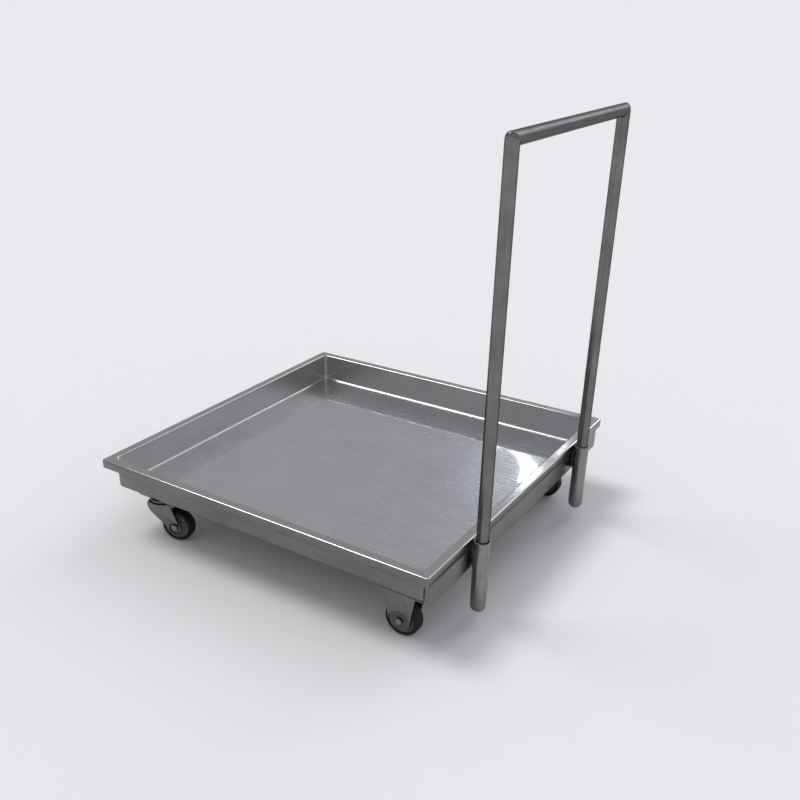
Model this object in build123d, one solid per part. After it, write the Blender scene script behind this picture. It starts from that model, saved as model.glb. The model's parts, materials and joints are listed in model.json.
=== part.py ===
from build123d import *
import os

# Tray cart: a square folded sheet tray on four casters, with a lift-out push handle of round tube
# Millimetres, +X towards the handle side, +Y to the back, +Z up
# The origin is on the ground, at the middle of the whole cart seen from above

# Tray
tray_length = 800.0
tray_width = 800.0
tray_depth = 70.0
sheet = 2.0
rim_flat = 22.5
rim_lip = 20.0
tray_corner_radius = 8.0
floor_bend_radius = 5.0
rim_fold_radius = 3.5
rim_corner_radius = 4.0

# Folded rail under the rim on the handle side
rail_end_setback = 4.0
rail_height = 66.0
rail_wall = 1.5
rail_corner_radius = 3.0

# Handle sockets
tube_diameter = 25.0
tube_wall = 1.5
socket_fit = 0.5
socket_wall = 3.0
socket_depth = 147.0
socket_rim_gap = 2.5
seat_gap = 0.3
spacer_width = 8.0
spacer_height = 58.0
spacer_top_drop = 1.0

# Handle
handle_spread = 500.0
handle_height = 728.0

# Casters in common
caster_height = 105.0
pad_thickness = 4.0
plate_thickness = 3.0
plate_length = 100.0
plate_width = 44.0
wheel_diameter = 75.0
tyre_width = 28.0
tyre_depth = 8.5
tyre_shoulder_radius = 7.0
core_rim_width = 24.0
core_rim_band = 5.0
core_web_width = 16.0
hub_diameter = 26.0
hub_width = 30.0
bush_diameter = 18.0
sleeve_diameter = 12.0
axle_diameter = 8.0
running_clearance = 0.1
slip_clearance = 0.05
hub_side_gap = 0.5
bolt_head_across_flats = 13.0
bolt_head_height = 5.3
bolt_end_past_nut = 2.0
nut_height = 8.0

# Fork legs
leg_thickness = 2.5
ear_press_depth = 4.0
ear_press_margin = 0.5
ear_press_wall = 2.0
leg_fold_radius = 5.0
rigid_leg_top_width = 70.0
rigid_ear_radius = 23.0
swivel_ear_radius = 12.5
swivel_shoulder_radius = 28.0
swivel_shoulder_drop = 5.5

# Swivel head
caster_trail = 36.0
crown_diameter = 60.0
crown_thickness = 3.0
race_diameter = 54.0
race_thickness = 4.5
race_gap = 2.0
ball_diameter = 5.0
ball_circle_diameter = 40.0
ball_count = 20
king_pin_diameter = 12.0
king_pin_head_diameter = 20.0
king_pin_head_height = 3.0
king_pin_head_gap = 0.3

# Caster studs, welded to the pads
stud_diameter = 6.0
stud_end_margin = 8.0
stud_side_margin = 12.0
stud_nut_height = 5.0
stud_nut_across_flats = 10.0
stud_end_past_nut = 0.5

# Caster places, inwards from the outer faces of the tray walls
swivel_inset = 106.0
rigid_inset = 58.0
front_inset = 32.0
rear_inset = 101.0
front_swivel_angle = 15.0
rear_swivel_angle = -10.0

# How far a cut runs past the faces that it opens
overshoot = 1.0

# Heights that follow
rim_top = caster_height + pad_thickness + sheet + tray_depth
tray_underside = rim_top - tray_depth - sheet
plate_top = tray_underside - pad_thickness
plate_bottom = plate_top - plate_thickness
axle_height = wheel_diameter / 2
crown_top = plate_bottom - race_thickness - race_gap
crown_bottom = crown_top - crown_thickness
ball_height = crown_top + race_gap / 2

# Places that follow
stud_spacing_length = plate_length - 2 * stud_end_margin
stud_spacing_width = plate_width - 2 * stud_side_margin
wall_x = tray_length / 2 + sheet
wall_y = tray_width / 2 + sheet
rim_x = tray_length / 2 + rim_flat
rim_y = tray_width / 2 + rim_flat
socket_radius = tube_diameter / 2 + socket_fit + socket_wall
socket_out = socket_rim_gap + socket_radius
tray_x = -(socket_out + socket_radius) / 2
socket_x = tray_x + rim_x + socket_out
socket_floor = rim_top - socket_depth
bar_height = rim_top + handle_height
rail_width = rim_x - sheet - wall_x
rail_length = 2 * (wall_y - rail_end_setback)
ear_inner = hub_width / 2 + hub_side_gap
leg_outer = ear_inner + leg_thickness + ear_press_depth


def rounded_block(length, width, height, corner_radius, bottom_radius=0.0):
    """A block on the ground plane with rounded upright corners and a rounded bottom edge."""
    block = extrude(RectangleRounded(length, width, corner_radius), height)
    if bottom_radius:
        block = fillet(block.faces().sort_by(Axis.Z)[0].edges(), bottom_radius)
    return block


def rod(radius, z_low, z_high):
    """An upright round bar on the Z axis."""
    return Pos(0, 0, z_low) * extrude(Circle(radius), z_high - z_low)


def ring(outer_radius, inner_radius, z_low, z_high):
    """An upright tube on the Z axis."""
    return Pos(0, 0, z_low) * extrude(Circle(outer_radius) - Circle(inner_radius), z_high - z_low)


def hexagon(across_flats, z_low, z_high):
    """An upright hexagonal bar on the Z axis."""
    sketch = RegularPolygon(across_flats / 2, 6, major_radius=False)
    return Pos(0, 0, z_low) * extrude(sketch, z_high - z_low)


def along_y(shape):
    """Turns a shape made on the Z axis so that its lower end faces -Y."""
    return Rot(-90, 0, 0) * shape


def on_axle(shape):
    """Lays a shape made on the Z axis on the axle's line, its lower end towards -Y."""
    return Pos(0, 0, axle_height) * along_y(shape)


def tray_pan():
    """The tray: floor, walls, flat rim and the lip turned down all round."""
    wall_height = tray_depth + sheet
    outside = rounded_block(2 * wall_x, 2 * wall_y, wall_height,
                            tray_corner_radius + sheet, floor_bend_radius + sheet)
    inside = rounded_block(tray_length, tray_width, wall_height, tray_corner_radius, floor_bend_radius)
    rim = extrude(RectangleRounded(2 * rim_x, 2 * rim_y, rim_corner_radius), rim_lip)
    under_rim = extrude(RectangleRounded(2 * (rim_x - sheet), 2 * (rim_y - sheet),
                                         rim_corner_radius - sheet), rim_lip - sheet)
    shell = Pos(0, 0, wall_height - rim_lip) * (rim - under_rim) + outside
    pan = shell - Pos(0, 0, sheet) * inside
    rim_top_face = pan.faces().filter_by(Axis.Z).sort_by(Axis.Z)[-1]
    pan = fillet(rim_top_face.edges(), rim_fold_radius)
    rim_under_face = pan.faces().filter_by(Axis.Z).sort_by(Axis.Z)[-2]
    pan = fillet(rim_under_face.edges(), rim_fold_radius - sheet)
    return Pos(tray_x, 0, tray_underside) * pan


def rail_section():
    """The rail's outline, seen from its end."""
    return RectangleRounded(rail_width, rail_height, rail_corner_radius)


def handle_rail():
    """The folded box rail between the tray wall and the lip, without its end caps."""
    length = rail_length - 2 * rail_wall
    hollow = RectangleRounded(rail_width - 2 * rail_wall, rail_height - 2 * rail_wall,
                              rail_corner_radius - rail_wall)
    tube = extrude(Plane.XZ * (rail_section() - hollow), length / 2, both=True)
    return Pos(tray_x + wall_x + rail_width / 2, 0, rim_top - sheet - rail_height / 2) * tube


def rail_cap(side):
    """One plate that closes an end of the rail, welded on flush."""
    plate = extrude(Plane.XZ * rail_section(), rail_wall / 2, both=True)
    place_y = side * (rail_length - rail_wall) / 2
    return Pos(tray_x + wall_x + rail_width / 2, place_y, rim_top - sheet - rail_height / 2) * plate


def socket_tube(side):
    """The round tube that an upright of the handle drops into."""
    tube = ring(socket_radius, socket_radius - socket_wall, socket_floor, rim_top)
    return Pos(socket_x, side * handle_spread / 2, 0) * tube


def socket_cap(side):
    """The domed end that closes the socket and carries the upright."""
    dome = Sphere(socket_radius)
    lower_half = Pos(0, 0, -socket_radius) * Box(2 * socket_radius, 2 * socket_radius, 2 * socket_radius)
    return Pos(socket_x, side * handle_spread / 2, socket_floor) * (dome & lower_half)


def socket_spacer(side):
    """The bar between the rail and the socket, notched around the rim's lip."""
    rail_face = rim_x - sheet
    bar_reach = sheet + socket_rim_gap + socket_wall
    bar_middle = rim_top - spacer_top_drop - spacer_height / 2
    bar = Pos(rail_face + bar_reach / 2, 0, bar_middle) * Box(bar_reach, spacer_width, spacer_height)
    notch = Pos(rail_face, 0, rim_top) * Box(2 * sheet, 2 * spacer_width, 2 * rim_lip)
    bore = Pos(rim_x + socket_out, 0, 0) * rod(socket_radius, socket_floor, rim_top)
    return Pos(tray_x, side * handle_spread / 2, 0) * (bar - notch - bore)


def mitre_plane(side):
    """The plane in which an upright and the top bar are cut to meet, the bar above it."""
    corner = (socket_x, side * handle_spread / 2, bar_height)
    return Plane(origin=corner, x_dir=(1, 0, 0), z_dir=(0, -side, 1))


def upright(side):
    """An upright tube of the handle, cut to a mitre at the top."""
    radius = tube_diameter / 2
    tube = ring(radius, radius - tube_wall, socket_floor + seat_gap, bar_height + radius)
    placed = Pos(socket_x, side * handle_spread / 2, 0) * tube
    return split(placed, bisect_by=mitre_plane(side), keep=Keep.BOTTOM)


def handle_bar():
    """The top bar of the handle, cut to a mitre at both ends."""
    radius = tube_diameter / 2
    half_length = handle_spread / 2 + radius
    bar = Pos(socket_x, 0, bar_height) * along_y(ring(radius, radius - tube_wall, -half_length, half_length))
    for side in (-1, 1):
        bar = split(bar, bisect_by=mitre_plane(side), keep=Keep.TOP)
    return bar


def outline_solid(outline):
    """A side outline, drawn in X and Z, made wide enough to cut both legs from."""
    return extrude(Plane.XZ * outline, 2 * leg_outer, both=True)


def circle_at(x, z, radius):
    """A full circle seen from the side."""
    return Pos(x, z) * CenterArc((0, 0), radius, 0, 360)


def leg_outline(top, ear_x, ear_radius):
    """A leg seen from the side: straight edges that run from its top to the round ear."""
    return make_hull((top + circle_at(ear_x, axle_height, ear_radius)).edges())


def press_ears(fork, outline, ear_x, ear_radius):
    """Presses both legs in around the axle and drills them for the bolt."""
    cut_radius = ear_radius + ear_press_margin
    for side in (-1, 1):
        cut_ends = sorted((side * (leg_outer - ear_press_depth), side * leg_outer))
        bulge_ends = sorted((side * ear_inner, side * (ear_inner + ear_press_depth)))
        cut = Pos(ear_x, 0, 0) * on_axle(rod(cut_radius, *cut_ends))
        bulge = Pos(ear_x, 0, 0) * on_axle(rod(cut_radius + ear_press_wall, *bulge_ends))
        fork = fork + (bulge & outline) - cut
    hole = on_axle(rod(axle_diameter / 2 + slip_clearance, -2 * leg_outer, 2 * leg_outer))
    return fork - Pos(ear_x, 0, 0) * hole


def channel(length, z_low, z_high, top_thickness):
    """A folded channel, open below, with its legs on the outer faces of the fork."""
    inner_radius = leg_fold_radius - leg_thickness
    outside = Pos(0, (z_low + z_high) / 2) * Rectangle(2 * leg_outer, z_high - z_low)
    outside = fillet(outside.vertices().group_by(Axis.Y)[-1], leg_fold_radius)
    inner_top = z_high - top_thickness
    inside = Pos(0, (z_low + inner_top) / 2) * Rectangle(2 * (leg_outer - leg_thickness), inner_top - z_low)
    inside = fillet(inside.vertices().group_by(Axis.Y)[-1], inner_radius)
    return extrude(Plane.YZ * (outside - inside), length / 2, both=True)


def rigid_fork():
    """The fixed fork: a plate and two straight legs folded from one blank."""
    low = axle_height - rigid_ear_radius
    body = channel(plate_length, low, plate_top, plate_thickness)
    half_top = rigid_leg_top_width / 2
    top = Polyline((-half_top, plate_bottom), (half_top, plate_bottom))
    leg = leg_outline(top, 0, rigid_ear_radius)
    plate_height = plate_top - plate_bottom + leg_fold_radius - plate_thickness
    plate = Pos(0, plate_top - plate_height / 2) * Rectangle(plate_length, plate_height)
    outline = outline_solid(leg + plate)
    fork = press_ears(body & outline, outline_solid(leg), 0, rigid_ear_radius)
    return fork - stud_pattern(stud_diameter / 2 + slip_clearance, plate_bottom - overshoot,
                               plate_top + overshoot)


def swivel_fork():
    """The turning fork: a round crown on the balls and two legs that slant back to the axle."""
    low = axle_height - swivel_ear_radius
    reach = caster_trail + swivel_ear_radius
    body = channel(2 * reach, low, crown_top, crown_thickness)
    shoulder = circle_at(0, crown_top - swivel_shoulder_drop, swivel_shoulder_radius)
    outline = outline_solid(leg_outline(shoulder, caster_trail, swivel_ear_radius))
    fork = press_ears(body & outline, outline, caster_trail, swivel_ear_radius)
    crown = rod(crown_diameter / 2, crown_bottom, crown_top)
    bore = rod(king_pin_diameter / 2 + running_clearance, crown_bottom - overshoot, crown_top + overshoot)
    return fork + crown - ball_groove() - bore


def ball_groove():
    """The round track that the balls run in, shared by the top plate and the crown."""
    track = Torus(ball_circle_diameter / 2, ball_diameter / 2 + slip_clearance)
    return Pos(0, 0, ball_height) * track


def swivel_plate():
    """The top plate of a swivel caster with its upper ball race."""
    plate = Pos(0, 0, (plate_top + plate_bottom) / 2) * Box(plate_length, plate_width, plate_thickness)
    race = rod(race_diameter / 2, plate_bottom - race_thickness, plate_bottom)
    bore = rod(king_pin_diameter / 2, plate_bottom - race_thickness, plate_top)
    studs = stud_pattern(stud_diameter / 2 + slip_clearance, plate_bottom - race_thickness, plate_top)
    return plate + race - bore - ball_groove() - studs


def swivel_balls():
    """The ring of balls between the top plate and the crown."""
    ball = Pos(ball_circle_diameter / 2, 0, ball_height) * Sphere(ball_diameter / 2)
    return [Rot(0, 0, turn * 360 / ball_count) * ball for turn in range(ball_count)]


def king_pin():
    """The riveted pin that holds the fork to the top plate."""
    shank = rod(king_pin_diameter / 2, crown_bottom - king_pin_head_gap, plate_top)
    head_top = crown_bottom - king_pin_head_gap
    return shank + rod(king_pin_head_diameter / 2, head_top - king_pin_head_height, head_top)


def stud_places():
    """The four stud centres of one caster, around its own axis."""
    return [(x * stud_spacing_length / 2, y * stud_spacing_width / 2) for x in (-1, 1) for y in (-1, 1)]


def stud_pattern(radius, z_low, z_high):
    """Four upright bars at the stud centres."""
    return [Pos(x, y, 0) * rod(radius, z_low, z_high) for x, y in stud_places()]


def pad():
    """The plate welded under the tray for one caster."""
    plate = Pos(0, 0, plate_top + pad_thickness / 2) * Box(plate_length, plate_width, pad_thickness)
    return plate - stud_pattern(stud_diameter / 2, plate_top, tray_underside)


def studs():
    """The four welded studs of one caster."""
    return stud_pattern(stud_diameter / 2, plate_bottom - stud_nut_height - stud_end_past_nut, tray_underside)


def stud_nuts():
    """The four nuts that hold one caster's plate on its studs."""
    nut = hexagon(stud_nut_across_flats, plate_bottom - stud_nut_height, plate_bottom)
    nut = nut - rod(stud_diameter / 2, plate_bottom - stud_nut_height, plate_bottom)
    return [Pos(x, y, 0) * nut for x, y in stud_places()]


def axle_bolt():
    """The axle bolt, its head on the side towards -Y."""
    head_face = ear_inner + leg_thickness
    end = head_face + nut_height + bolt_end_past_nut
    bolt = rod(axle_diameter / 2, -head_face, end)
    return on_axle(bolt + hexagon(bolt_head_across_flats, -head_face - bolt_head_height, -head_face))


def axle_nut():
    """The nut that clamps the axle bolt."""
    start = ear_inner + leg_thickness
    nut = hexagon(bolt_head_across_flats, start, start + nut_height)
    return on_axle(nut - rod(axle_diameter / 2, start, start + nut_height))


def axle_sleeve():
    """The tube clamped between the fork ears, on which the wheel turns."""
    return on_axle(ring(sleeve_diameter / 2, axle_diameter / 2 + slip_clearance, -ear_inner, ear_inner))


def wheel_bush():
    """The plain bush pressed into the wheel core."""
    half = hub_width / 2
    return on_axle(ring(bush_diameter / 2, sleeve_diameter / 2 + running_clearance, -half, half))


def wheel_core():
    """The wheel core: hub, web and rim, turned about the axle."""
    core_radius = wheel_diameter / 2 - tyre_depth
    hub = ring(hub_diameter / 2, bush_diameter / 2, -hub_width / 2, hub_width / 2)
    web = ring(core_radius, bush_diameter / 2, -core_web_width / 2, core_web_width / 2)
    band = ring(core_radius, core_radius - core_rim_band, -core_rim_width / 2, core_rim_width / 2)
    return on_axle(hub + web + band)


def tyre():
    """The solid tyre, bonded to the core."""
    outer_radius = wheel_diameter / 2
    band = ring(outer_radius, outer_radius - tyre_depth, -tyre_width / 2, tyre_width / 2)
    rim_edges = band.edges().filter_by(GeomType.CIRCLE).group_by(SortBy.RADIUS)[-1]
    return on_axle(fillet(rim_edges, tyre_shoulder_radius))


def save(name, shape):
    """Writes one node; a list of solids becomes one group."""
    if isinstance(shape, (list, ShapeList)):
        shape = Compound(children=list(shape))
    export_step(shape, f"parts/{name}.step")


def moved(place, shape):
    """The same shape, or each shape of a list, at its place on the cart."""
    if isinstance(shape, (list, ShapeList)):
        return [place * item for item in shape]
    return place * shape


swivel_x = tray_x - wall_x + swivel_inset
rigid_x = tray_x + wall_x - rigid_inset
front_y = -wall_y + front_inset
rear_y = wall_y - rear_inset
swivel_places = {
    "fl": (swivel_x, front_y, front_swivel_angle),
    "rl": (swivel_x, rear_y, rear_swivel_angle),
}
rigid_places = {
    "fr": (rigid_x, front_y),
    "rr": (rigid_x, rear_y),
}

os.makedirs("parts", exist_ok=True)

save("tray_pan", tray_pan())
save("handle_rail", handle_rail())
for end, side in (("front", -1), ("rear", 1)):
    save(f"rail_cap_{end}", rail_cap(side))
    save(f"socket_{end}", socket_tube(side))
    save(f"socket_cap_{end}", socket_cap(side))
    save(f"socket_spacer_{end}", socket_spacer(side))
    save(f"upright_{end}", upright(side))
save("handle_bar", handle_bar())

all_studs = []
all_stud_nuts = []


def save_wheel(corner, wheel_place):
    """Writes the axle and wheel pieces of one caster."""
    save(f"axle_bolt_{corner}", moved(wheel_place, axle_bolt()))
    save(f"axle_nut_{corner}", moved(wheel_place, axle_nut()))
    save(f"axle_sleeve_{corner}", moved(wheel_place, axle_sleeve()))
    save(f"wheel_bush_{corner}", moved(wheel_place, wheel_bush()))
    save(f"wheel_core_{corner}", moved(wheel_place, wheel_core()))
    save(f"tyre_{corner}", moved(wheel_place, tyre()))


for corner, (x, y, angle) in swivel_places.items():
    place = Pos(x, y, 0)
    turned = place * Rot(0, 0, angle)
    all_studs += moved(place, studs())
    all_stud_nuts += moved(place, stud_nuts())
    save(f"caster_pad_{corner}", moved(place, pad()))
    save(f"swivel_plate_{corner}", moved(place, swivel_plate()))
    save(f"swivel_balls_{corner}", moved(place, swivel_balls()))
    save(f"king_pin_{corner}", moved(place, king_pin()))
    save(f"swivel_fork_{corner}", moved(turned, swivel_fork()))
    save_wheel(corner, turned * Pos(caster_trail, 0, 0))

for corner, (x, y) in rigid_places.items():
    place = Pos(x, y, 0)
    all_studs += moved(place, studs())
    all_stud_nuts += moved(place, stud_nuts())
    save(f"caster_pad_{corner}", moved(place, pad()))
    save(f"rigid_fork_{corner}", moved(place, rigid_fork()))
    save_wheel(corner, place)

save("caster_studs", all_studs)
save("caster_nuts", all_stud_nuts)
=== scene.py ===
import json
import math
import bmesh
import bpy
from mathutils import Matrix, Vector

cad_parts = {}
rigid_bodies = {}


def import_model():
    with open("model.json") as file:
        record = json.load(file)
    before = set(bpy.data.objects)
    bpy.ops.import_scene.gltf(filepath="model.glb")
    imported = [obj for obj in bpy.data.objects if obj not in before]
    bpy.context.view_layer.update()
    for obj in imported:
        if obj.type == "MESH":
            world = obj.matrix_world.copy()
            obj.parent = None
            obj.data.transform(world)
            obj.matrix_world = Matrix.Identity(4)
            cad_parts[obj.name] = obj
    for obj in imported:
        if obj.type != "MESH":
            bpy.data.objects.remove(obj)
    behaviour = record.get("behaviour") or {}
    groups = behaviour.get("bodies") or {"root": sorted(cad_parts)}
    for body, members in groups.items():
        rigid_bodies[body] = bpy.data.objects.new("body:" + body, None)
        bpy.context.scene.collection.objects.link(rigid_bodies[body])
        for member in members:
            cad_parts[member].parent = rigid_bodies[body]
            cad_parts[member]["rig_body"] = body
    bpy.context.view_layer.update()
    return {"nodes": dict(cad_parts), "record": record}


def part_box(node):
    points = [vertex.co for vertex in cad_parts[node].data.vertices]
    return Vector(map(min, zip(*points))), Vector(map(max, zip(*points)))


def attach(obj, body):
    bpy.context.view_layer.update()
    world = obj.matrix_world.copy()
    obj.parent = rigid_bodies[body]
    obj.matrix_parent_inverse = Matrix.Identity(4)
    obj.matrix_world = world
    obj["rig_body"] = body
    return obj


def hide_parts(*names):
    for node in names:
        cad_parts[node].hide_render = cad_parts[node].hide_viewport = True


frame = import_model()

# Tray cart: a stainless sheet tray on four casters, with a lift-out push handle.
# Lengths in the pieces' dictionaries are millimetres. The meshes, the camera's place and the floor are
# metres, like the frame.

scene = bpy.context.scene
nodes = frame["nodes"]
mm = 0.001


def hexColour(text):
    parts = [int(text[i:i + 2], 16) / 255 for i in (1, 3, 5)]
    return [p / 12.92 if p <= 0.04045 else ((p + 0.055) / 1.055) ** 2.4 for p in parts] + [1.0]


def addNode(tree, kind, links=None, **settings):
    # one node: settings are its attributes, links are its inputs, as values or other nodes' outputs
    node = tree.nodes.new(kind)
    for key, value in settings.items():
        setattr(node, key, value)
    for key, value in (links or {}).items():
        if isinstance(value, bpy.types.NodeSocket):
            tree.links.new(value, node.inputs[key])
        else:
            node.inputs[key].default_value = value
    return node


def newMaterial(name):
    material = bpy.data.materials.new(name)
    material.use_nodes = True
    material.node_tree.nodes.clear()
    return material, material.node_tree


def closeMaterial(tree, shader):
    addNode(tree, "ShaderNodeOutputMaterial", {"Surface": shader.outputs[0]})


# Camera, floor and light
view = {
    "place": (1.05525, -1.610, 1.1034),
    "azimuth": 34.254,          # degrees round from +Y
    "elevation": 26.994,
    "lens": 41.015,
    "sensor": 36.0,
    "clipStart": 0.05,
    "imageSize": 800,
    "centreX": 354.71,          # where the lens axis meets the image, in its pixels
    "centreY": 461.67,
}
stage = {
    "floorRadius": 1500.0,      # so that the floor reaches the horizon
    "floorSides": 96,
    "floorColour": "#f0f0f0",
    "skyDim": "#b6b8bc",        # what the steel reflects from the left, the front and above
    "skyBright": "#d6d8dc",     # the pale side of the room, back right
    "brightWay": (0.42, 0.78, 0.46),
    "brightFrom": 0.55,         # cosines between which the pale side fades in
    "brightTo": 0.98,
    "glowColour": "#e9f1ff",
}
glows = {
    # bright panes of the room, which the steel shows and the camera doesn't see: azimuth left of +Y,
    # elevation, radius and softness in degrees, radiance, and the discs that are cut out of the pane,
    # each as azimuth, elevation and radius
    "curvedPane": (24.03, 28.38, 2.69, 0.06, 8.0,
                   [(24.07, 26.97, 1.13), (24.8, 31.6, 4.3), (27.5, 28.2, 3.0)]),
    "smallPane": (20.1, 25.45, 0.45, 0.1, 5.0, []),
    "halo": (24.3, 27.1, 2.1, 1.6, 0.26, []),       # the haze round the curved pane
    "lowPane": (-12.0, 21.5, 9.0, 8.5, 5.0, []),    # wide and faint at its edge, for the handle's bar
}
suns = {
    # broad soft lights, far off: where they stand, angle across in degrees, irradiance
    "overheadLight": ((-0.50, -0.09, 0.86), 24, 1.2),
    "backLight": ((0.02, 0.74, 0.67), 26, 0.22),
}


def makeCamera():
    data = bpy.data.cameras.new("photoCamera")
    camera = bpy.data.objects.new("photoCamera", data)
    scene.collection.objects.link(camera)
    camera.location = view["place"]
    camera.rotation_euler = (math.radians(90 - view["elevation"]), 0, math.radians(view["azimuth"]))
    data.lens = view["lens"]
    data.sensor_width = view["sensor"]
    half = view["imageSize"] / 2
    data.shift_x = (half - view["centreX"]) / view["imageSize"]
    data.shift_y = (view["centreY"] - half) / view["imageSize"]
    data.clip_start = view["clipStart"]
    data.clip_end = 2 * stage["floorRadius"]
    scene.camera = camera


def makeFloor():
    bm = bmesh.new()
    bmesh.ops.create_circle(bm, cap_ends=True, segments=stage["floorSides"],
                            radius=stage["floorRadius"])
    mesh = bpy.data.meshes.new("studioFloor")
    bm.to_mesh(mesh)
    bm.free()
    floor = bpy.data.objects.new("studioFloor", mesh)
    scene.collection.objects.link(floor)
    material, tree = newMaterial("paleFloorPaint")
    shader = addNode(tree, "ShaderNodeBsdfDiffuse", {"Color": hexColour(stage["floorColour"])})
    closeMaterial(tree, shader)
    mesh.materials.append(material)


def makeSky():
    # a soft room, pale all round and a little brighter on one side
    world = bpy.data.worlds.new("softRoom")
    scene.world = world
    world.use_nodes = True
    tree = world.node_tree
    tree.nodes.clear()
    direction = addNode(tree, "ShaderNodeTexCoord")
    unit = addNode(tree, "ShaderNodeVectorMath", {0: direction.outputs["Generated"]}, operation="NORMALIZE")
    toward = Vector(stage["brightWay"]).normalized()
    along = addNode(tree, "ShaderNodeVectorMath", {0: unit.outputs[0], 1: toward}, operation="DOT_PRODUCT")
    share = addNode(tree, "ShaderNodeMapRange", {"Value": along.outputs["Value"],
                                                 "From Min": stage["brightFrom"],
                                                 "From Max": stage["brightTo"]},
                    interpolation_type="SMOOTHERSTEP")
    colour = addNode(tree, "ShaderNodeMix", {0: share.outputs[0], 6: hexColour(stage["skyDim"]),
                                             7: hexColour(stage["skyBright"])}, data_type="RGBA")
    sky = addNode(tree, "ShaderNodeBackground", {"Color": colour.outputs[2], "Strength": 1.0})
    total = sky
    for azimuth, elevation, radius, soft, radiance, cuts in glows.values():
        pane = skyDisc(tree, unit, azimuth, elevation, radius, soft, radiance)
        for cut in cuts:
            hole = skyDisc(tree, unit, *cut, soft, 1.0)
            rest = addNode(tree, "ShaderNodeMath", {0: 1.0, 1: hole.outputs[0]}, operation="SUBTRACT")
            pane = addNode(tree, "ShaderNodeMath", {0: pane.outputs[0], 1: rest.outputs[0]},
                           operation="MULTIPLY")
        light = addNode(tree, "ShaderNodeBackground", {"Color": hexColour(stage["glowColour"]),
                                                       "Strength": pane.outputs[0]})
        total = addNode(tree, "ShaderNodeAddShader", {0: total.outputs[0], 1: light.outputs[0]})
    # the camera sees the plain sky, and only the other rays meet the panes
    rays = addNode(tree, "ShaderNodeLightPath")
    room = addNode(tree, "ShaderNodeMixShader", {0: rays.outputs["Is Camera Ray"], 1: total.outputs[0],
                                                 2: sky.outputs[0]})
    addNode(tree, "ShaderNodeOutputWorld", {"Surface": room.outputs[0]})


def skyDisc(tree, unit, azimuth, elevation, radius, soft, radiance):
    # a soft-edged disc in the sky, as a node whose output falls from radiance to nothing
    turn, lift = math.radians(azimuth), math.radians(elevation)
    middle = (-math.sin(turn) * math.cos(lift), math.cos(turn) * math.cos(lift), math.sin(lift))
    away = addNode(tree, "ShaderNodeVectorMath", {0: unit.outputs[0], 1: middle}, operation="DISTANCE")
    return addNode(tree, "ShaderNodeMapRange", {"Value": away.outputs["Value"],
                                                "From Min": math.radians(radius - soft),
                                                "From Max": math.radians(radius + soft),
                                                "To Min": radiance, "To Max": 0.0},
                   interpolation_type="SMOOTHSTEP")


def makeSuns():
    for name, (toward, angle, power) in suns.items():
        data = bpy.data.lights.new(name, "SUN")
        data.angle = math.radians(angle)
        data.energy = power
        lamp = bpy.data.objects.new(name, data)
        scene.collection.objects.link(lamp)
        lamp.rotation_euler = Vector(toward).to_track_quat("Z", "Y").to_euler()


makeCamera()
makeFloor()
makeSky()
makeSuns()
scene.view_settings.view_transform = "Standard"
print("stage: camera, floor, sky and", len(suns), "lights")

# Finishes
satin = {
    # what all the satin finishes share
    "grainDetail": 3.0,
    "grainGain": 0.6,
    "cloudDetail": 4.0,
    "cloudGain": 0.55,
    "toneFrom": 0.7,            # grain and clouds added up, where the metal is darkest
    "toneTo": 1.3,              # and where it is lightest
    "paintedShadeReach": 7.0,          # how far the painted shade reaches out of a corner
    "paintedShadeSamples": 8,
    "paintedShadeFull": 0.35,          # how open a corner is where the painted shade is full
    "paintedShadeNone": 0.95,          # and where there is none
    # colour of the painted shade in corners and creases
    "paintedShadeColour": "#2a2927",
}


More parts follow.
